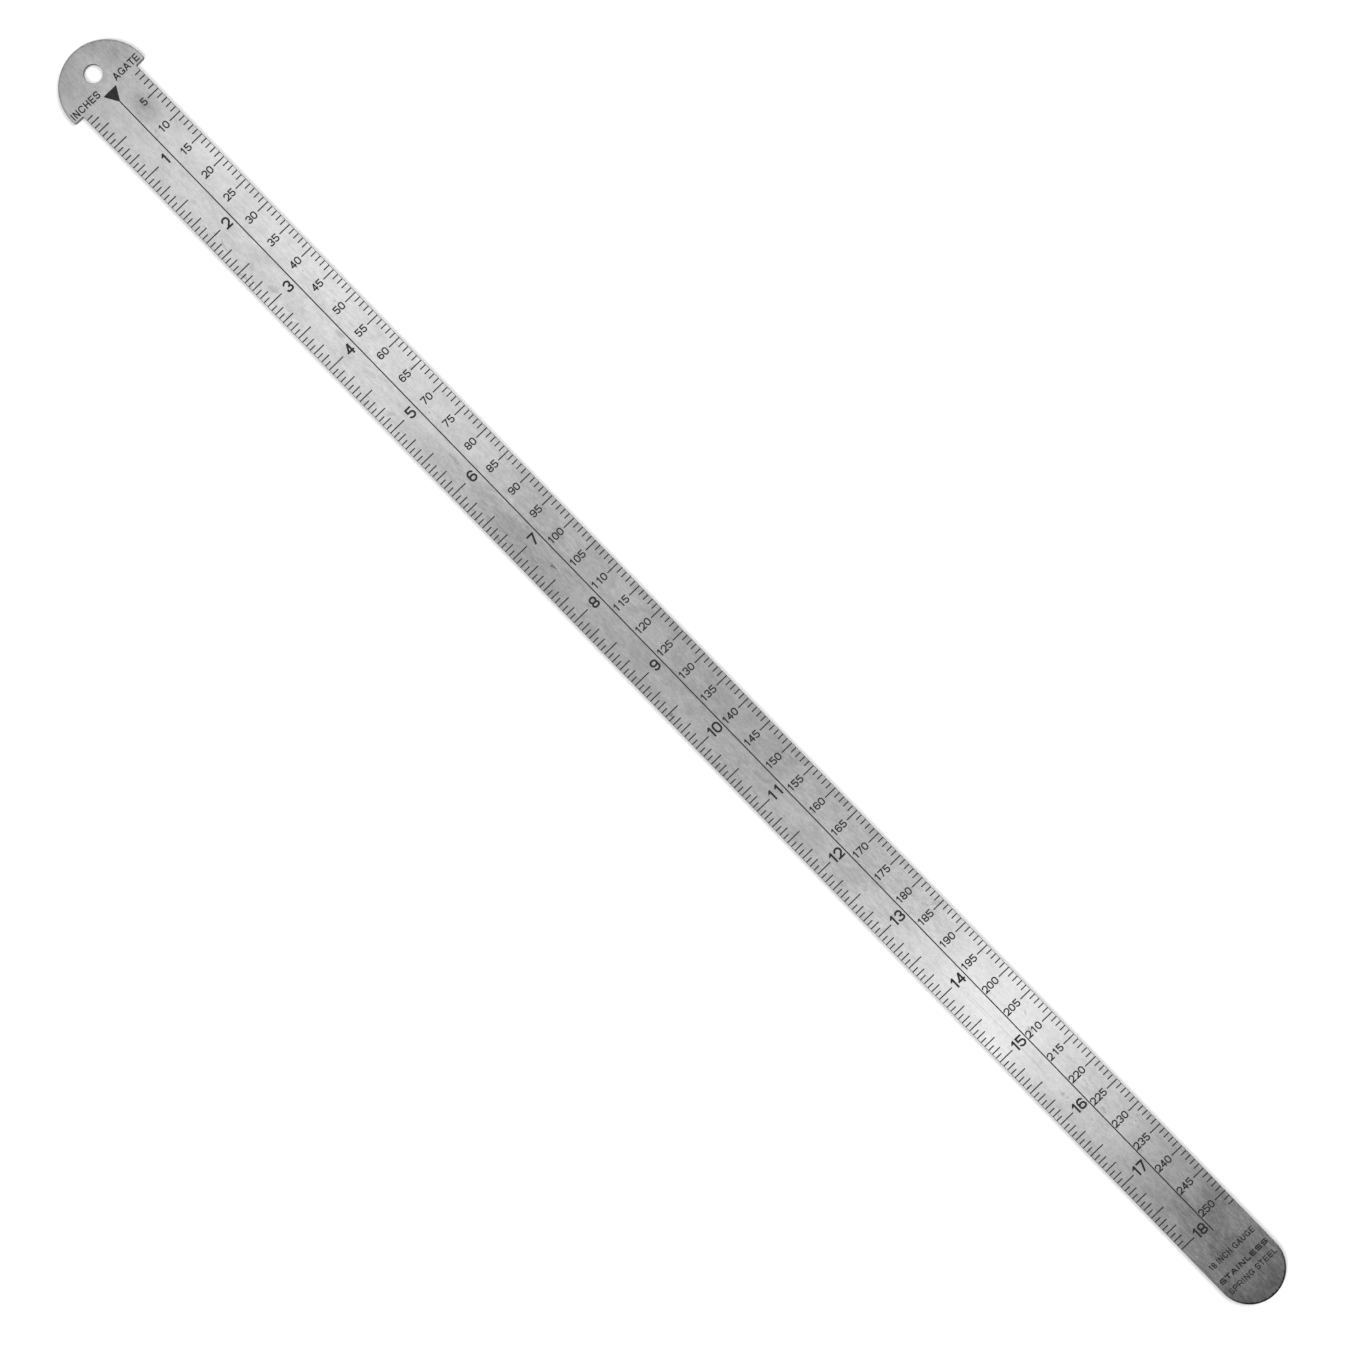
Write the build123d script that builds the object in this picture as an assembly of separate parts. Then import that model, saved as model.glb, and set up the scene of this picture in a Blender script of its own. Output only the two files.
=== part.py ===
from build123d import *
import os
from math import hypot

# An 18 inch line gauge: a thin stainless steel rule with a hook head, marked on its front face with a
# scale of inches along one long edge and a scale of agate lines along the other. Every mark is a thin
# film of black enamel fired onto the steel. Millimetres, +Z up out of the marked face, +X from the head
# to the tail.

# ---- Driving dimensions ---------------------------------------------------------------------------
INCH = 25.4
SCALE_INCHES = 18
AGATE_LINES_PER_INCH = 14

THICKNESS = 1.0
BLADE_WIDTH = 21.3
TAIL_CENTRE_X = 475.05         # centre of the full-radius tail, from the zero of the scales
HEAD_RADIUS = 13.95
HEAD_STRAIGHT = 1.35           # straight stretch of the head's sides, between its arc and the hook
HOOK_CORNER_RADIUS = 0.6       # outer corners of the hook
HOOK_ROOT_RADIUS = 0.25        # inner corners, where the hook meets the blade
EDGE_BREAK = 0.15              # polished-off edge all round both faces
HANG_HOLE_DIAMETER = 5.56      # 7/32 in
HANG_HOLE_X = -6.85
HANG_HOLE_BREAK = 0.1

ENAMEL_THICKNESS = 0.02

TOLERANCE = 0.001              # positions and radii nearer than this are the same

MARK_WIDTH = 0.36
CENTRE_LINE_WIDTH = 0.36
CENTRE_LINE_END = SCALE_INCHES * INCH + 2.5
POINTER_BASE = 5.1
POINTER_LENGTH = 4.4

SIXTEENTHS_PER_INCH = 16
INCH_MARK_LENGTHS = {          # how many sixteenths a mark divides by: its node and its length
    16: ("inch_marks_whole", 5.65),
    8: ("inch_marks_half", 5.0),
    4: ("inch_marks_quarter", 4.1),
    2: ("inch_marks_eighth", 3.2),
    1: ("inch_marks_sixteenth", 2.2),
}
SHORT_WHOLE_MARK = 5.2         # whole inches with two digits leave less room for their mark
AGATE_GROUP = 5
AGATE_MARK_LENGTHS = {
    5: ("agate_marks_fifth", 4.2),
    1: ("agate_marks_single", 2.2),
}

# ---- Lettering, in cap heights unless it says mm --------------------------------------------------
PEN = 0.17                     # stroke width
BOLD_PEN = 0.25
DIGIT_WIDTH = 0.72
TWO_DIGIT_TRACKING = -0.09
INCH_CAP_MM = 3.45
INCH_TEXT_RIGHT_MM = -0.85     # right-hand edge of a single inch digit, from the centre line
INCH_TEXT_RIGHT_TWO_MM = -0.5  # the same for two digits
INCH_TEXT_LIFT_MM = 0.25       # the digits sit this far towards the head from their mark
AGATE_CAP_MM = 2.38
AGATE_TEXT_RIGHT_MM = 5.85
LABEL_CAP_MM = 2.25
LABEL_STRETCH = 0.91
LABEL_BASELINE_X = -0.65
LABELS = {                     # node: text and the y of its middle
    "label_inches": ("INCHES", -8.0),
    "label_agate": ("AGATE", 8.2),
}
INSCRIPTION = {                # node: text, x of its baseline, cap height mm, pen, stretch
    "inscription_length": ("18 INCH GAUGE", 468.1, 1.9, PEN, 0.87),
    "inscription_steel": ("STAINLESS", 473.2, 1.7, BOLD_PEN, 1.45),
    "inscription_temper": ("SPRING STEEL", 477.1, 1.8, PEN, 1.02),
}

# ---- Worked out from the dimensions above ---------------------------------------------------------
HALF_WIDTH = BLADE_WIDTH / 2
HEAD_TIP_X = -(HEAD_STRAIGHT + HEAD_RADIUS)
TAIL_TIP_X = TAIL_CENTRE_X + HALF_WIDTH
ORIGIN_X = (HEAD_TIP_X + TAIL_TIP_X) / 2    # the part's origin, measured from the zero of the scales
MARK_START = HALF_WIDTH - EDGE_BREAK    # graduations begin where the broken edge does


# ---- Pen strokes of the lettering -----------------------------------------------------------------
def box(x0, y0, x1, y1):
    """Upright rectangle between two corners."""
    return Pos((x0 + x1) / 2, (y0 + y1) / 2) * Rectangle(x1 - x0, y1 - y0)


def pen(weight, radius, *points):
    """Stroke of constant width along a polyline with rounded corners and square-cut ends."""
    return trace(FilletPolyline(*points, radius=radius), weight)


def loop(weight, x0, y0, x1, y1):
    """Closed stroke round the inside of a box, as round as the box allows."""
    wide, high = x1 - x0, y1 - y0
    outer = 0.49 * min(wide, high)
    ring = RectangleRounded(wide, high, outer)
    ring -= RectangleRounded(wide - 2 * weight, high - 2 * weight, outer - weight)
    return Pos((x0 + x1) / 2, (y0 + y1) / 2) * ring


def slant(weight, foot_x, foot_y, top_x, top_y):
    """Sloping stroke whose two ends are cut level."""
    half = weight / 2 * hypot(top_x - foot_x, top_y - foot_y) / abs(top_y - foot_y)
    return make_face(
        Polyline((foot_x - half, foot_y), (foot_x + half, foot_y), (top_x + half, top_y),
                 (top_x - half, top_y), close=True)
    )


# ---- Characters -----------------------------------------------------------------------------------
# Each function draws one character of cap height 1 in a box of the given width, with the given pen.
# Slanting strokes may run out of the box, which trims them.
def zero(wide, p):
    return loop(p, 0, 0, wide, 1)


def one(wide, p):
    flag = slant(0.9 * p, 0.09, 0.70, wide - 0.3 * p, 1)
    return box(wide - p, 0, wide, 1) + flag


def two(wide, p):
    left, right, top = p / 2, wide - p / 2, 1 - p / 2
    bend = 0.45 * (right - left)
    hook = pen(p, (bend, bend, bend), (left, 0.66), (left, top), (right, top), (right, 0.50), (left, 0))
    return box(0, 0, wide, p) + hook


def three(wide, p):
    return eight(wide, p) - box(-p, 0.28, 0.45 * wide, 0.72)


def four(wide, p):
    stem, bar = wide - 0.12 - p, 0.23
    slope = slant(p, p * 0.55, bar, stem + p * 0.5, 1)
    return box(stem, 0, stem + p, 1) + box(0, bar, wide, bar + p) + slope


def five(wide, p):
    shoulder, middle = 0.66, wide / 2
    bowl = loop(p, 0, 0, wide, shoulder) - box(-p, 0.28, middle, shoulder + p)
    collar = box(0.03, shoulder - p, middle, shoulder)
    return bowl + collar + box(0.03, shoulder - p, 0.03 + p, 1) + box(0.03, 1 - p, wide - 0.04, 1)


def six(wide, p):
    middle = wide / 2
    back = loop(p, 0, 0, wide, 1) - box(middle, -p, wide + p, 0.73) - box(-p, -p, middle, 0.31)
    return loop(p, 0, 0, wide, 0.63) + back


def seven(wide, p):
    return box(0, 1 - p, wide, 1) + slant(p, 0.16 + p / 2, 0, wide - 0.6 * p, 1 - p / 2)


def eight(wide, p):
    waist = 0.54
    return loop(p, 0, 0, wide, waist) + loop(p, 0.02, waist - p, wide - 0.02, 1)


def nine(wide, p):
    return Pos(wide, 1) * Rot(0, 0, 180) * six(wide, p)


def letter_a(wide, p):
    legs = slant(p, 0.55 * p, 0, wide / 2, 1) + slant(p, wide - 0.55 * p, 0, wide / 2, 1)
    bar = box(0.22 * wide, 0.26, 0.78 * wide, 0.26 + p)
    return legs + bar


def letter_c(wide, p):
    return loop(p, 0, 0, wide, 1) - box(wide / 2, 0.32, wide + p, 0.68)


def letter_e(wide, p):
    arms = box(0, 0, wide, p) + box(0, 1 - p, wide, 1)
    return arms + box(0, 0, p, 1) + box(0, 0.5 - p / 2, 0.92 * wide, 0.5 + p / 2)


def letter_g(wide, p):
    return letter_c(wide, p) + box(0.55 * wide, 0.5 - p, wide, 0.5) + box(wide - p, 0.08, wide, 0.5)


def letter_h(wide, p):
    return box(0, 0, p, 1) + box(wide - p, 0, wide, 1) + box(0, 0.5 - p / 2, wide, 0.5 + p / 2)


def letter_i(wide, p):
    return box(0, 0, p, 1)


def letter_l(wide, p):
    return box(0, 0, p, 1) + box(0, 0, wide, p)


def letter_n(wide, p):
    brace = slant(p, wide - 0.6 * p, 0, 0.6 * p, 1)
    return box(0, 0, p, 1) + box(wide - p, 0, wide, 1) + brace


def letter_p(wide, p):
    right, top, waist = wide - p / 2, 1 - p / 2, 0.47
    bend = 0.49 * (top - waist)
    bowl = pen(p, (bend, bend), (0, top), (right, top), (right, waist), (0, waist))
    return box(0, 0, p, 1) + bowl


def letter_r(wide, p):
    leg = slant(p, wide - 0.6 * p, 0, 0.58 * wide, 0.47)
    return letter_p(wide - 0.03, p) + leg


def letter_s(wide, p):
    middle = wide / 2
    upper = loop(p, 0, 0.5 - p / 2, wide, 1) - box(middle, 0.5, wide + p, 0.70)
    lower = loop(p, 0, 0, wide, 0.5 + p / 2) - box(-p, 0.30, middle, 0.5)
    return upper + lower


def letter_t(wide, p):
    return box(0, 1 - p, wide, 1) + box((wide - p) / 2, 0, (wide + p) / 2, 1)


def letter_u(wide, p):
    bowl = loop(p, 0, 0, wide, 1) - box(-p, 0.5, wide + p, 1 + p)
    return bowl + box(0, 0.5, p, 1) + box(wide - p, 0.5, wide, 1)


# Each character's drawing, the width of its ink and the width that it takes up in a line of text.
DIGIT_ADVANCE = 0.79
SPACE_ADVANCE = 0.388
CHARACTERS = {
    "1": (one, 0.41, DIGIT_ADVANCE),
    "A": (letter_a, 0.93, 0.93), "C": (letter_c, 0.87, 1.008), "E": (letter_e, 0.75, 0.931),
    "G": (letter_g, 0.91, 1.086), "H": (letter_h, 0.78, 1.008), "I": (letter_i, PEN, 0.388),
    "L": (letter_l, 0.66, 0.777), "N": (letter_n, 0.78, 1.008), "P": (letter_p, 0.80, 0.931),
    "R": (letter_r, 0.86, 1.008), "S": (letter_s, 0.80, 0.931), "T": (letter_t, 0.80, 0.853),
    "U": (letter_u, 0.78, 1.008),
}
for digit, drawing in zip("023456789", (zero, two, three, four, five, six, seven, eight, nine)):
    CHARACTERS[digit] = (drawing, DIGIT_WIDTH, DIGIT_ADVANCE)

drawn = {}                     # characters drawn so far, so that each is worked out only once


def character(sign, cap, weight, stretch):
    """One character at its size, lower left corner of its ink at the origin."""
    key = (sign, cap, weight, stretch)
    if key not in drawn:
        draw, wide, _ = CHARACTERS[sign]
        ink = box(0, 0, wide * stretch, 1)
        drawn[key] = scale(draw(wide * stretch, weight) & ink, by=cap)
    return drawn[key]


def line_of_text(text, cap, weight=PEN, stretch=1.0, tracking=0.0):
    """A line of text as a list of faces, read along +Y with its left end and baseline at the origin."""
    faces, pen_y = [], 0.0
    for sign in text:
        if sign == " ":
            pen_y += (SPACE_ADVANCE * stretch + tracking) * cap
            continue
        _, wide, advance = CHARACTERS[sign]
        bearing = (advance - wide) / 2 * stretch * cap
        faces.append(Pos(0, pen_y + bearing) * Rot(0, 0, 90) * character(sign, cap, weight, stretch))
        pen_y += (advance * stretch + tracking) * cap
    return faces, pen_y - tracking * cap


# ---- The steel ------------------------------------------------------------------------------------
def blade_outline():
    """Outline of the blade and its head, measured from the zero of the scales."""
    head = Pos(-HEAD_STRAIGHT, 0) * Circle(HEAD_RADIUS) + box(-HEAD_STRAIGHT, -HEAD_RADIUS, 0, HEAD_RADIUS)
    head &= box(HEAD_TIP_X, -HEAD_RADIUS, 0, HEAD_RADIUS)
    blade = box(-HEAD_STRAIGHT, -HALF_WIDTH, TAIL_CENTRE_X, HALF_WIDTH)
    outline = head + blade + Pos(TAIL_CENTRE_X, 0) * Circle(HALF_WIDTH)
    hook = [v for v in outline.vertices() if abs(v.X) < TOLERANCE]
    outline = fillet([v for v in hook if abs(v.Y) < HALF_WIDTH + TOLERANCE], HOOK_ROOT_RADIUS)
    hook = [v for v in outline.vertices() if abs(v.X) < TOLERANCE]
    return fillet([v for v in hook if abs(v.Y) > HEAD_RADIUS - TOLERANCE], HOOK_CORNER_RADIUS)


def steel_blade():
    """The steel with its broken edges and hanging hole."""
    plate = extrude(blade_outline(), THICKNESS)
    rims = plate.faces().sort_by(Axis.Z)[0].edges() + plate.faces().sort_by(Axis.Z)[-1].edges()
    plate = chamfer(rims, EDGE_BREAK)
    plate -= Pos(HANG_HOLE_X, 0, THICKNESS / 2) * Cylinder(HANG_HOLE_DIAMETER / 2, 2 * THICKNESS)
    rims = plate.edges().filter_by(GeomType.CIRCLE)
    rims = [e for e in rims if abs(e.radius - HANG_HOLE_DIAMETER / 2) < TOLERANCE]
    return chamfer(rims, HANG_HOLE_BREAK)


# ---- Enamel marks on the face ---------------------------------------------------------------------
def enamel(face):
    """The film of enamel of one mark, standing on the steel."""
    return Pos(0, 0, THICKNESS) * extrude(face, ENAMEL_THICKNESS)


def edge_mark(x, length, side):
    """One graduation, from the blade's edge inwards. side is -1 for the inch edge, +1 for the agate."""
    inner, outer = sorted((side * (HALF_WIDTH - length), side * MARK_START))
    return enamel(box(x - MARK_WIDTH / 2, inner, x + MARK_WIDTH / 2, outer))


def inch_marks(marks):
    """The sixteenths of the inch scale, sorted by length, up to its last whole inch."""
    for count in range(1, SCALE_INCHES * SIXTEENTHS_PER_INCH + 1):
        node, length = next(value for step, value in INCH_MARK_LENGTHS.items() if count % step == 0)
        if count % SIXTEENTHS_PER_INCH == 0 and count >= 10 * SIXTEENTHS_PER_INCH:
            length = SHORT_WHOLE_MARK
        marks.setdefault(node, []).append(edge_mark(count * INCH / SIXTEENTHS_PER_INCH, length, -1))


def agate_marks(marks):
    """The agate lines, with every fifth one longer."""
    for count in range(1, SCALE_INCHES * AGATE_LINES_PER_INCH + 1):
        node, length = next(value for step, value in AGATE_MARK_LENGTHS.items() if count % step == 0)
        marks.setdefault(node, []).append(edge_mark(count * INCH / AGATE_LINES_PER_INCH, length, 1))


def numeral(number, x, right_y, cap, tracking=0.0):
    """A number whose right-hand end is at right_y and whose middle is at x."""
    faces, length = line_of_text(str(number), cap, tracking=tracking)
    return [enamel(Pos(x + cap / 2, right_y - length) * face) for face in faces]


def inch_numerals():
    marks = []
    for inch in range(1, SCALE_INCHES + 1):
        two_digits = inch >= 10
        right = INCH_TEXT_RIGHT_TWO_MM if two_digits else INCH_TEXT_RIGHT_MM
        tracking = TWO_DIGIT_TRACKING if two_digits else 0.0
        marks += numeral(inch, inch * INCH - INCH_TEXT_LIFT_MM, right, INCH_CAP_MM, tracking)
    return marks


def agate_numerals():
    marks = []
    for line in range(AGATE_GROUP, SCALE_INCHES * AGATE_LINES_PER_INCH, AGATE_GROUP):
        marks += numeral(line, line * INCH / AGATE_LINES_PER_INCH, AGATE_TEXT_RIGHT_MM, AGATE_CAP_MM)
    return marks


def centred_text(text, baseline_x, middle_y, cap, weight=PEN, stretch=1.0):
    faces, length = line_of_text(text, cap, weight, stretch)
    return [enamel(Pos(baseline_x, middle_y - length / 2) * face) for face in faces]


def zero_pointer_and_line():
    """The solid arrowhead at the zero of both scales and the line down the middle that it runs into."""
    neck_x = POINTER_LENGTH * (1 - CENTRE_LINE_WIDTH / POINTER_BASE)
    half_base, half_line = POINTER_BASE / 2, CENTRE_LINE_WIDTH / 2
    pointer = make_face(
        Polyline((0, -half_base), (neck_x, -half_line), (neck_x, half_line), (0, half_base), close=True)
    )
    return [enamel(pointer)], [enamel(box(neck_x, -half_line, CENTRE_LINE_END, half_line))]


def all_marks():
    """Every mark on the face, by node."""
    marks = {}
    inch_marks(marks)
    agate_marks(marks)
    marks["inch_numerals"] = inch_numerals()
    marks["agate_numerals"] = agate_numerals()
    marks["zero_pointer"], marks["centre_line"] = zero_pointer_and_line()
    for node, (text, middle_y) in LABELS.items():
        marks[node] = centred_text(text, LABEL_BASELINE_X, middle_y, LABEL_CAP_MM, stretch=LABEL_STRETCH)
    for node, (text, baseline_x, cap, weight, stretch) in INSCRIPTION.items():
        marks[node] = centred_text(text, baseline_x, 0, cap, weight, stretch)
    return marks


def in_part_frame(shape):
    return Pos(-ORIGIN_X, 0, 0) * shape


os.makedirs("parts", exist_ok=True)
blade = steel_blade()
export_step(in_part_frame(blade), "parts/steel_blade.step")
for node, films in all_marks().items():
    export_step(Compound([in_part_frame(film).solid() for film in films]), f"parts/{node}.step")
print("overall length", round(TAIL_TIP_X - HEAD_TIP_X, 2), "origin from zero", round(ORIGIN_X, 2))
print("blade volume", round(blade.volume, 1), "solids", len(blade.solids()))
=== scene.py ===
import math

import bmesh
import bpy
from mathutils import Matrix, Vector


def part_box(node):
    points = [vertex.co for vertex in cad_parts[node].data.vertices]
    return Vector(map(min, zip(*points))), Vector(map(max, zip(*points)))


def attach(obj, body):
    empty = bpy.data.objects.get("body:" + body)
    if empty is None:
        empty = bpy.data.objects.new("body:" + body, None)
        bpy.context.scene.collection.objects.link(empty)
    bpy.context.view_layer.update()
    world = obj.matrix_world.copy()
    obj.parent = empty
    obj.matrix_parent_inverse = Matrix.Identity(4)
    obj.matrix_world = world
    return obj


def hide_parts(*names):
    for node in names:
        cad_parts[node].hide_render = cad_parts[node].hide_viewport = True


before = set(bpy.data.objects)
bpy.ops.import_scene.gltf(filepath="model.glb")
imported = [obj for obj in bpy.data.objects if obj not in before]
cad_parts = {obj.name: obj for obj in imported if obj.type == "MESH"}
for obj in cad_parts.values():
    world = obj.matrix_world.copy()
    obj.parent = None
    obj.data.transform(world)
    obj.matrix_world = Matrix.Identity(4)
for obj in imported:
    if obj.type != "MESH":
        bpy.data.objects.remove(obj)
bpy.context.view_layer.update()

# ---- Sizes of the rule, in metres ------------------------------------------------------------------
MM = 0.001
LOW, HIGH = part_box("steel_blade")
THICKNESS = HIGH.z - LOW.z
HEAD_RADIUS = HIGH.y
BLADE_HALF_WIDTH = 10.65 * MM
HEAD_STRAIGHT = 1.35 * MM
HOOK_CORNER_RADIUS = 0.6 * MM
HOOK_ROOT_RADIUS = 0.25 * MM
HEAD_CENTRE_X = LOW.x + HEAD_RADIUS
ZERO_X = HEAD_CENTRE_X + HEAD_STRAIGHT      # the hook's shoulder, where both scales begin
TAIL_CENTRE_X = HIGH.x - BLADE_HALF_WIDTH
HANG_HOLE_RADIUS = 2.78 * MM
HANG_HOLE_X = ZERO_X - 6.85 * MM
EDGE_ROUND = 0.15 * MM
HOLE_ROUND = 0.10 * MM

# ---- Fineness of the meshes ------------------------------------------------------------------------
DEGREES_PER_STEP = 2.0
FEWEST_STEPS = 3
ROUND_STEPS = 5
EDGE_MATERIAL = 1                           # the blade's second material; its flat faces take the first

# ---- Camera ----------------------------------------------------------------------------------------
SENSOR = 36.0
CAMERA_DISTANCE = 600 * MM                  # assumed, together with the thickness
VIEW_WIDTH = 389.75 * MM                    # what the frame spans across the rule
VIEW_CENTRE = Vector((-1.8 * MM, -0.1 * MM, THICKNESS))
CAMERA_ROLL = math.radians(45.915)          # the rule lies along the frame's diagonal
CAMERA_TILT = math.radians(0.706)           # the tail is a little further from the lens than the head
CLIP_START = 10 * MM


# ---- The steel -------------------------------------------------------------------------------------
def arc(centre_x, centre_y, radius, start, end):
    """Points along an arc between two angles in degrees, its first point included and its last left out."""
    steps = max(FEWEST_STEPS, round(abs(end - start) / DEGREES_PER_STEP))
    angles = [math.radians(start + (end - start) * i / steps) for i in range(steps)]
    return [(centre_x + radius * math.cos(a), centre_y + radius * math.sin(a)) for a in angles]


def blade_outline(inset):
    """The blade's outline, anticlockwise from above, moved inwards by inset."""
    shoulder_end = HEAD_RADIUS - HOOK_CORNER_RADIUS
    root_y = BLADE_HALF_WIDTH + HOOK_ROOT_RADIUS
    root = HOOK_ROOT_RADIUS + inset
    corner = HOOK_CORNER_RADIUS - inset
    points = arc(TAIL_CENTRE_X, 0, BLADE_HALF_WIDTH - inset, -90, 90)
    points += [(TAIL_CENTRE_X, BLADE_HALF_WIDTH - inset)]
    points += arc(ZERO_X + HOOK_ROOT_RADIUS, root_y, root, -90, -180)
    points += [(ZERO_X + HOOK_ROOT_RADIUS - root, root_y)]
    points += arc(ZERO_X - HOOK_CORNER_RADIUS, shoulder_end, corner, 0, 90)
    points += [(ZERO_X - HOOK_CORNER_RADIUS, HEAD_RADIUS - inset)]
    points += arc(HEAD_CENTRE_X, 0, HEAD_RADIUS - inset, 90, 270)
    points += [(HEAD_CENTRE_X, inset - HEAD_RADIUS)]
    points += arc(ZERO_X - HOOK_CORNER_RADIUS, -shoulder_end, corner, -90, 0)
    points += [(ZERO_X - HOOK_CORNER_RADIUS + corner, -shoulder_end)]
    points += arc(ZERO_X + HOOK_ROOT_RADIUS, -root_y, root, 180, 90)
    points += [(ZERO_X + HOOK_ROOT_RADIUS, root - root_y)]
    return points


def hole_outline(inset):
    """The hanging hole's outline, grown outwards by inset."""
    return arc(HANG_HOLE_X, 0, HANG_HOLE_RADIUS + inset, 0, 360)


def edge_profile(round_radius):
    """(inset, height) pairs up the edge, from the underside's rounding to the upper face's."""
    quarter = [math.pi / 2 * i / ROUND_STEPS for i in range(ROUND_STEPS + 1)]
    lower = [(round_radius * (1 - math.sin(a)), round_radius * (1 - math.cos(a))) for a in quarter]
    return lower + [(inset, THICKNESS - height) for inset, height in reversed(lower)]


def skin(bm, outline, round_radius):
    """Rings of vertices up an edge, joined by quads. Returns the lowest and the highest ring."""
    rings = []
    for inset, height in edge_profile(round_radius):
        rings.append([bm.verts.new((x, y, height)) for x, y in outline(inset)])
    for low, high in zip(rings, rings[1:]):
        for i in range(len(low)):
            j = (i + 1) % len(low)
            quad = bm.faces.new((low[i], low[j], high[j], high[i]))
            quad.smooth = True
            quad.material_index = EDGE_MATERIAL
    return rings[0], rings[-1]


def cap(bm, outer, hole):
    """Fills the flat face between the outline and the hole."""
    edges = []
    for ring in (outer, hole):
        edges += [bm.edges.get((ring[i], ring[(i + 1) % len(ring)])) for i in range(len(ring))]
    made = bmesh.ops.triangle_fill(bm, use_beauty=True, use_dissolve=False, edges=edges)
    for face in made["geom"]:
        if isinstance(face, bmesh.types.BMFace):
            face.smooth = False


def blade_mesh():
    """The blade as one closed mesh with rounded edges."""
    bm = bmesh.new()
    outer_low, outer_high = skin(bm, blade_outline, EDGE_ROUND)
    hole_low, hole_high = skin(bm, hole_outline, HOLE_ROUND)
    cap(bm, outer_low, hole_low)
    cap(bm, outer_high, hole_high)
    bmesh.ops.recalc_face_normals(bm, faces=bm.faces)
    mesh = bpy.data.meshes.new("blade")
    bm.to_mesh(mesh)
    bm.free()
    return mesh


def blade_piece(face_steel, edge_steel):
    """The blade in its two steels, in place of the CAD one."""
    mesh = blade_mesh()
    mesh.materials.append(face_steel)
    mesh.materials.append(edge_steel)
    piece = bpy.data.objects.new("blade", mesh)
    bpy.context.collection.objects.link(piece)
    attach(piece, "root")
    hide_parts("steel_blade")
    return piece


# ---- Values of the materials -----------------------------------------------------------------------
# Noise patterns: how far the cells are stretched along x, y and z, how many of them would fit in a metre
# if they weren't, and the settings of the noise itself.
GRAIN = {"stretch": (5, 1, 1), "scale": 2400, "detail": 3, "roughness": 0.6}
MOTTLE = {"stretch": (1.3, 1, 1), "scale": 900, "detail": 4, "roughness": 0.65, "distortion": 0.5}
CLOUDS = {"stretch": (1.5, 1, 1), "scale": 190, "detail": 4, "roughness": 0.6, "distortion": 0.8}
PATCHES = {"stretch": (2, 1, 1), "scale": 60, "detail": 2, "distortion": 0.5}
ROLLING = {"stretch": (60, 1, 1), "scale": 1500, "detail": 3}
SCRATCHES = {"stretch": (60, 1, 1), "scale": 700, "detail": 2, "turn": -24}
SHEAR_LINES = {"stretch": (1, 1, 20), "scale": 3000, "detail": 3}
EDGE_PATCHES = {"stretch": (1, 1, 1), "scale": 300, "detail": 3}
ENAMEL_DEPTH = {"stretch": (1, 1, 1), "scale": 900, "detail": 3}
ENAMEL_GLOSS = {"stretch": (1, 1, 1), "scale": 2500, "detail": 2}
FLOOR_PATCHES = {"stretch": (1, 1, 1), "scale": 9, "detail": 2}
NOISE_LOW, NOISE_HIGH = 0.3, 0.7            # most of a noise lies between these

# Satin steel: its brightness, and how much each pattern adds to it or takes from it.
STEEL_TONE = 0.675
GRAIN_TONE = 0.06
MOTTLE_TONE = 0.06
CLOUD_TONE = 0.07
PATCH_TONE = 0.06
ROLLING_TONE = 0.015
# Its roughness, what a pattern adds or takes, what a scratch adds, and the share of the darkening of the
# smudges and of the painted tail shade that is added.
STEEL_ROUGHNESS = 0.18
PATTERN_ROUGHNESS = 0.03
SCRATCH_ROUGHNESS = 0.08
SMUDGE_AND_SHADE_ROUGHNESS = 0.3
# Its relief: each pattern's share of the height, and the height itself.
MOTTLE_HEIGHT = 0.5
SCRATCH_HEIGHT = -0.8
STEEL_BUMP, STEEL_BUMP_STRENGTH = 0.003 * MM, 0.6
SCRATCH_FROM, SCRATCH_TO = 0.69, 0.75       # the peaks of the noise that make a scratch

# Darker patches of the face: middle, half lengths and how much they darken the steel. The last is
# painted shade, a darker reflection painted over the tail end; the others are smudges left by hands.
SMUDGES_AND_TAIL_SHADE = (
    (-74 * MM, -6 * MM, 42 * MM, 7 * MM, 0.13),
    (-60 * MM, 4 * MM, 18 * MM, 5 * MM, 0.06),
    (-242 * MM, -5 * MM, 7 * MM, 7 * MM, 0.04),
    (-241 * MM, 9 * MM, 6 * MM, 6 * MM, 0.10),
    (-225 * MM, 4 * MM, 8 * MM, 5 * MM, 0.13),
    # painted shade: the tail end's darker reflection, painted into the steel's colour
    (256 * MM, 0 * MM, 22 * MM, 45 * MM, 0.34),
)
SMUDGE_AND_SHADE_RAGGED = 0.25                        # how far the clouds push the outline of a smudge and of the painted tail shade in and out
# Where the darkening begins and where it is full, from 0 at the patch's rim to 1 in its middle.
SMUDGE_AND_SHADE_FROM, SMUDGE_AND_SHADE_TO = 0.15, 0.6
# Small dark scuffs: middle and half lengths.
SCUFFS = (
    (-48 * MM, -3.7 * MM, 3.2 * MM, 1.3 * MM),
    (7 * MM, -8.8 * MM, 2.4 * MM, 1.2 * MM),
)
SCUFF_DEPTH = 0.42
SCUFF_RAGGED = 0.6
SCUFF_FROM, SCUFF_TO = 0.52, 0.80
# The darker rim round each rounded end is a painted dark reflection, painted into the steel's colour in
# place of a rounder edge's: its width, how far past the arc's centre it has faded in, and how dark it is.
PAINTED_RIM_WIDTH = 0.75 * MM
PAINTED_RIM_FADE_IN = HEAD_RADIUS / 4
HEAD_PAINTED_RIM_DEPTH = 0.14
TAIL_PAINTED_RIM_DEPTH = 0.42

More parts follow.
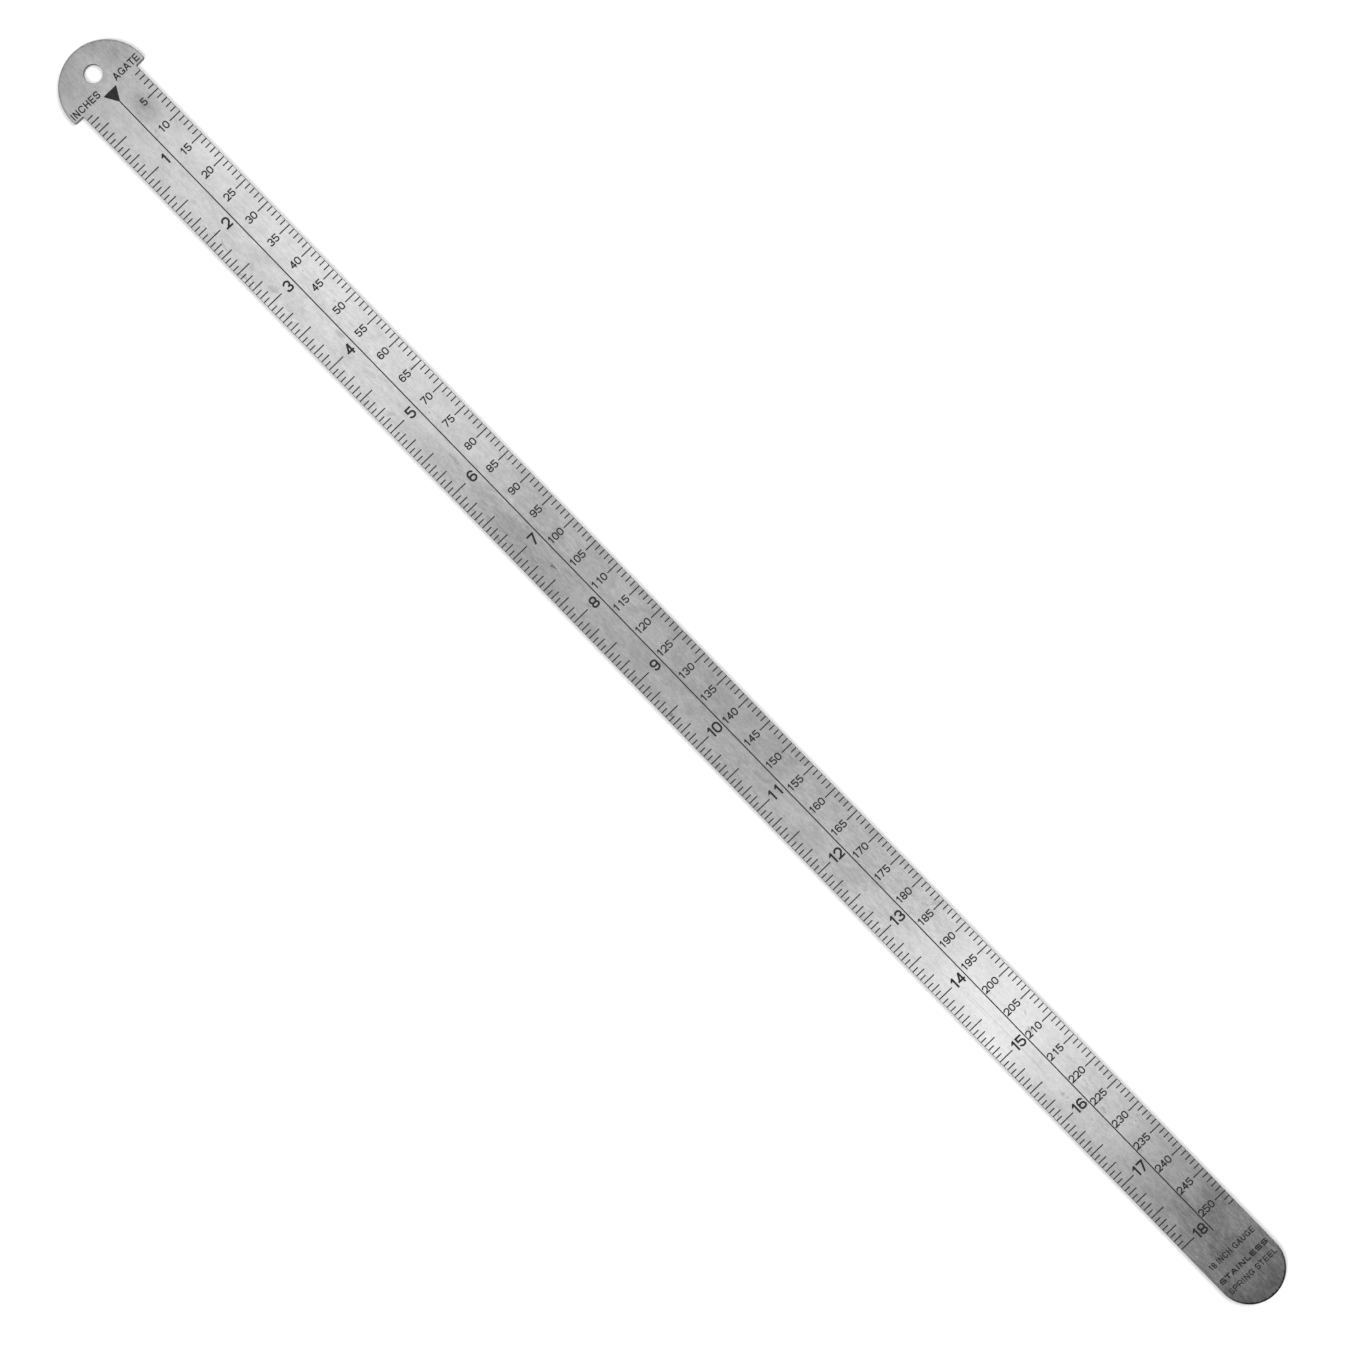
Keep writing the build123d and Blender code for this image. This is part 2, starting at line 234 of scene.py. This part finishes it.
# Sheared steel of the edges, rougher than the face; its dark tone is partly the steel's own and partly
# painted shade.
EDGE_TONE = 0.13
SHEAR_LINE_TONE = 0.04
EDGE_PATCH_TONE = 0.03
EDGE_ROUGHNESS = (0.36, 0.50)
EDGE_BUMP, EDGE_BUMP_STRENGTH = 0.01 * MM, 0.8

# Black enamel of the marks.
ENAMEL_TONE = (0.008, 0.022)
ENAMEL_ROUGHNESS = (0.45, 0.62)
ENAMEL_SPECULAR = 0.25
ENAMEL_BUMP, ENAMEL_BUMP_STRENGTH = 0.003 * MM, 0.5

# White floor.
FLOOR_TONE = (0.93, 0.95)
FLOOR_ROUGHNESS = 0.9
FLOOR_SPECULAR = 0.1


# ---- Materials -------------------------------------------------------------------------------------
class Shader:
    """A material's node tree with short calls for the nodes used here."""

    def __init__(self, name):
        self.material = bpy.data.materials.new(name)
        self.material.use_nodes = True
        self.tree = self.material.node_tree
        self.surface = next(n for n in self.tree.nodes if n.type == "BSDF_PRINCIPLED")
        self.coordinates = self.node("ShaderNodeTexCoord").outputs["Object"]

    def node(self, kind, **settings):
        made = self.tree.nodes.new(kind)
        for name, value in settings.items():
            setattr(made, name, value)
        return made

    def join(self, source, target):
        self.tree.links.new(source, target)

    def feed(self, socket, value):
        if isinstance(value, (int, float, tuple)):
            socket.default_value = value
        else:
            self.join(value, socket)

    def math(self, operation, *values):
        made = self.node("ShaderNodeMath", operation=operation)
        for socket, value in zip(made.inputs, values):
            self.feed(socket, value)
        return made.outputs[0]

    def noise(self, stretch, scale, detail, roughness=0.5, turn=0.0, distortion=0.0):
        """Noise in object space, its cells stretched along each axis, in 0 to 1 about 0.5."""
        mapping = self.node("ShaderNodeMapping")
        mapping.inputs["Rotation"].default_value = (0, 0, math.radians(turn))
        mapping.inputs["Scale"].default_value = tuple(1 / s for s in stretch)
        self.join(self.coordinates, mapping.inputs["Vector"])
        made = self.node("ShaderNodeTexNoise")
        made.inputs["Scale"].default_value = scale
        made.inputs["Detail"].default_value = detail
        made.inputs["Roughness"].default_value = roughness
        made.inputs["Distortion"].default_value = distortion
        self.join(mapping.outputs["Vector"], made.inputs["Vector"])
        return made.outputs["Fac"]

    def spread(self, value, low, high, from_low=NOISE_LOW, from_high=NOISE_HIGH):
        """Maps a value onto low to high, and holds it there."""
        made = self.node("ShaderNodeMapRange", clamp=True)
        for name, number in (("From Min", from_low), ("From Max", from_high),
                             ("To Min", low), ("To Max", high)):
            made.inputs[name].default_value = number
        self.join(value, made.inputs["Value"])
        return made.outputs["Result"]

    def grey(self, value):
        """A neutral colour of that brightness."""
        made = self.node("ShaderNodeCombineColor")
        for channel in ("Red", "Green", "Blue"):
            self.feed(made.inputs[channel], value)
        return made.outputs["Color"]

    def bump(self, height, distance, strength):
        made = self.node("ShaderNodeBump")
        made.inputs["Distance"].default_value = distance
        made.inputs["Strength"].default_value = strength
        self.join(height, made.inputs["Height"])
        self.join(made.outputs["Normal"], self.surface.inputs["Normal"])


def total(shader, *values):
    """The sum of several sockets or numbers."""
    result = values[0]
    for value in values[1:]:
        result = shader.math("ADD", result, value)
    return result


def spot(shader, x, y, size_x, size_y):
    """1 in the middle of an oval patch of the face, fading to 0 at its rim."""
    mapping = shader.node("ShaderNodeMapping", vector_type="POINT")
    mapping.inputs["Location"].default_value = (-x / size_x, -y / size_y, 0)
    mapping.inputs["Scale"].default_value = (1 / size_x, 1 / size_y, 0)
    shader.join(shader.coordinates, mapping.inputs["Vector"])
    length = shader.node("ShaderNodeVectorMath", operation="LENGTH")
    shader.join(mapping.outputs["Vector"], length.inputs[0])
    return shader.spread(length.outputs["Value"], 1, 0, 0.0, 1.0)


def painted_end_rim_reflection(shader, centre_x, radius, side):
    """1 along the rim of a rounded end, where a dark reflection is painted into the steel, 0 elsewhere.
    side is -1 for the head and 1 for the tail.
    """
    split = shader.node("ShaderNodeSeparateXYZ")
    shader.join(shader.coordinates, split.inputs["Vector"])
    beyond = shader.math("MULTIPLY", shader.math("SUBTRACT", split.outputs["X"], centre_x), side)
    across = split.outputs["Y"]
    beyond_squared = shader.math("MULTIPLY", beyond, beyond)
    across_squared = shader.math("MULTIPLY", across, across)
    distance = shader.math("SQRT", shader.math("ADD", beyond_squared, across_squared))
    rim = shader.spread(distance, 0, 1, radius - PAINTED_RIM_WIDTH, radius - EDGE_ROUND)
    return shader.math("MULTIPLY", rim, shader.spread(beyond, 0, 1, 0, PAINTED_RIM_FADE_IN))


def swing(shader, value, reach):
    """A noise mapped onto -reach to reach."""
    return shader.spread(value, -reach, reach)


def handling_and_tail_shade(shader, clouds, mottle):
    """How much the smudges, the scuffs and the painted shade of the tail end darken the steel."""
    dark = 0
    for x, y, size_x, size_y, depth in SMUDGES_AND_TAIL_SHADE:
        patch = spot(shader, x, y, size_x, size_y)
        ragged = shader.math("ADD", patch, swing(shader, clouds, SMUDGE_AND_SHADE_RAGGED))
        dark = shader.math("ADD", dark, shader.spread(ragged, 0, depth, SMUDGE_AND_SHADE_FROM, SMUDGE_AND_SHADE_TO))
    for x, y, size_x, size_y in SCUFFS:
        patch = spot(shader, x, y, size_x, size_y)
        ragged = shader.math("ADD", patch, swing(shader, mottle, SCUFF_RAGGED))
        dark = shader.math("ADD", dark, shader.spread(ragged, 0, SCUFF_DEPTH, SCUFF_FROM, SCUFF_TO))
    return dark


def painted_end_rim_reflections(shader):
    """How much the painted dark reflection round the rim of the head, and then of the tail, darkens the
    steel.
    """
    head = shader.math("MULTIPLY", painted_end_rim_reflection(shader, HEAD_CENTRE_X, HEAD_RADIUS, -1), HEAD_PAINTED_RIM_DEPTH)
    tail = shader.math("MULTIPLY", painted_end_rim_reflection(shader, TAIL_CENTRE_X, BLADE_HALF_WIDTH, 1), TAIL_PAINTED_RIM_DEPTH)
    return head, tail


def satin_steel():
    """Rolled stainless steel with a fine mottled grain, smudges and scuffs of use, scratches, and painted
    shade: a darker reflection painted over the tail end and a dark rim painted round each rounded end.
    """
    s = Shader("satin_steel")
    grain = s.noise(**GRAIN)
    mottle = s.noise(**MOTTLE)
    clouds = s.noise(**CLOUDS)
    patches = s.noise(**PATCHES)
    rolling = s.noise(**ROLLING)
    scratches = s.spread(s.noise(**SCRATCHES), 0, 1, SCRATCH_FROM, SCRATCH_TO)
    # marks holds the smudges and scuffs, and the painted shade of the tail end
    marks = handling_and_tail_shade(s, clouds, mottle)
    tone = total(
        s, STEEL_TONE, swing(s, grain, GRAIN_TONE), swing(s, mottle, MOTTLE_TONE),
        swing(s, clouds, CLOUD_TONE), swing(s, patches, PATCH_TONE), swing(s, rolling, ROLLING_TONE)
    )
    # painted shade: the tail end's painted darker reflection and the painted dark rims darken the steel's
    # colour here
    darker = total(s, marks, *painted_end_rim_reflections(s))
    s.join(s.grey(s.math("SUBTRACT", tone, darker)), s.surface.inputs["Base Color"])
    s.surface.inputs["Metallic"].default_value = 1.0
    rough = total(
        s, STEEL_ROUGHNESS, swing(s, grain, PATTERN_ROUGHNESS), swing(s, clouds, PATTERN_ROUGHNESS),
        s.math("MULTIPLY", scratches, SCRATCH_ROUGHNESS), s.math("MULTIPLY", marks, SMUDGE_AND_SHADE_ROUGHNESS)
    )
    s.join(rough, s.surface.inputs["Roughness"])
    relief = total(
        s, grain, s.math("MULTIPLY", mottle, MOTTLE_HEIGHT), s.math("MULTIPLY", scratches, SCRATCH_HEIGHT)
    )
    s.bump(relief, STEEL_BUMP, STEEL_BUMP_STRENGTH)
    return s.material


def sheared_steel_and_painted_shade():
    """The stamped edge: rougher than the face, with fine shear lines up its height, and darker than the
    face, partly in the steel's own tone and partly as painted shade on the walls and their rounding.
    """
    s = Shader("sheared_steel_and_painted_shade")
    lines = s.noise(**SHEAR_LINES)
    patches = s.noise(**EDGE_PATCHES)
    # the edge's dark tone: partly the sheared steel's own, partly painted shade over the walls and the
    # rounded edges
    tone = total(s, EDGE_TONE, swing(s, lines, SHEAR_LINE_TONE), swing(s, patches, EDGE_PATCH_TONE))
    s.join(s.grey(tone), s.surface.inputs["Base Color"])
    s.surface.inputs["Metallic"].default_value = 1.0
    s.join(s.spread(patches, *EDGE_ROUGHNESS), s.surface.inputs["Roughness"])
    s.bump(lines, EDGE_BUMP, EDGE_BUMP_STRENGTH)
    return s.material


def black_enamel():
    """Baked black fill of the marks, a little uneven in depth and gloss."""
    s = Shader("black_enamel")
    depth = s.noise(**ENAMEL_DEPTH)
    s.join(s.grey(s.spread(depth, *ENAMEL_TONE)), s.surface.inputs["Base Color"])
    s.join(s.spread(s.noise(**ENAMEL_GLOSS), *ENAMEL_ROUGHNESS), s.surface.inputs["Roughness"])
    s.surface.inputs["Specular IOR Level"].default_value = ENAMEL_SPECULAR
    s.bump(depth, ENAMEL_BUMP, ENAMEL_BUMP_STRENGTH)
    return s.material


def white_floor():
    """Matt white, very slightly uneven."""
    s = Shader("white_floor")
    s.join(s.grey(s.spread(s.noise(**FLOOR_PATCHES), *FLOOR_TONE)), s.surface.inputs["Base Color"])
    s.surface.inputs["Roughness"].default_value = FLOOR_ROUGHNESS
    s.surface.inputs["Specular IOR Level"].default_value = FLOOR_SPECULAR
    return s.material


# ---- Studio ----------------------------------------------------------------------------------------
FLOOR_SIZE = 8.0
CEILING = 1.2
CEILING_STEP = 0.04                         # each overhead panel hangs this far below the one before
CEILING_DEPTH = 1.8                         # each overhead panel's size across the rule
# Overhead panels: where on the rule its reflection shows, its width there, how far it hangs towards the
# agate edge, and its radiance.
OVERHEAD = (
    (-6 * MM, 448 * MM, 0.0, 0.40),
    (-170 * MM, 187 * MM, 0.0, 0.34),
    (130 * MM, 130 * MM, 0.0, 0.12),
    (145 * MM, 72 * MM, 0.0, 0.24),
    (142 * MM, 36 * MM, 0.0, 0.58),
    (-150 * MM, 130 * MM, 0.92, 0.35),
)
SIDE_DISTANCE = 1.1
SIDE_HEIGHT = 0.9
SIDE_SIZE = (1.6, 0.9)
SIDE_RADIANCE = 3.8
WORLD_GREY = 0.15


def reflected(x, height):
    """How far along at that height the camera sees, mirrored in the rule at x."""
    return x * (1 + height / CAMERA_DISTANCE)


def panel(name, place, size, radiance):
    """A soft light of that radiance, facing down."""
    light = bpy.data.lights.new(name, "AREA")
    light.shape = "RECTANGLE"
    light.size, light.size_y = size
    light.energy = radiance * math.pi * size[0] * size[1]
    lamp = bpy.data.objects.new(name, light)
    lamp.location = place
    bpy.context.collection.objects.link(lamp)
    return lamp


def studio():
    """The floor, the panels that the face reflects, the two side lamps and a dim grey backdrop."""
    bpy.ops.mesh.primitive_plane_add(size=FLOOR_SIZE)
    floor = bpy.context.object
    floor.name = "floor"
    floor.data.materials.append(white_floor())
    for number, (x, width, y, radiance) in enumerate(OVERHEAD):
        height = CEILING - number * CEILING_STEP
        size = (reflected(width, height), CEILING_DEPTH)
        panel(f"overhead_{number}", (reflected(x, height), y, height), size, radiance)
    for side in (-1, 1):
        lamp = panel(f"side_{side}", (0, side * SIDE_DISTANCE, SIDE_HEIGHT), SIDE_SIZE, SIDE_RADIANCE)
        lamp.rotation_euler = (-side * math.atan2(SIDE_DISTANCE, SIDE_HEIGHT), 0, 0)
    world = bpy.data.worlds.new("studio")
    bpy.context.scene.world = world
    world.use_nodes = True
    backdrop = world.node_tree.nodes["Background"]
    backdrop.inputs["Color"].default_value = (WORLD_GREY, WORLD_GREY, WORLD_GREY, 1)
    bpy.context.scene.view_settings.view_transform = "Standard"


def camera():
    """The photograph's view: nearly straight down, turned so that the rule lies on the diagonal."""
    data = bpy.data.cameras.new("camera")
    data.sensor_width = SENSOR
    data.lens = SENSOR * CAMERA_DISTANCE / VIEW_WIDTH
    data.clip_start = CLIP_START
    lens = bpy.data.objects.new("camera", data)
    turn = Matrix.Rotation(-CAMERA_TILT, 4, "Y") @ Matrix.Rotation(CAMERA_ROLL, 4, "Z")
    away = Vector((-math.sin(CAMERA_TILT), 0, math.cos(CAMERA_TILT)))
    lens.matrix_world = Matrix.Translation(VIEW_CENTRE + CAMERA_DISTANCE * away) @ turn
    bpy.context.collection.objects.link(lens)
    bpy.context.scene.camera = lens


# ---- The scene -------------------------------------------------------------------------------------
blade_piece(satin_steel(), sheared_steel_and_painted_shade())
enamel = black_enamel()
for name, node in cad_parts.items():
    if name != "steel_blade":
        node.data.materials.clear()
        node.data.materials.append(enamel)
studio()
camera()
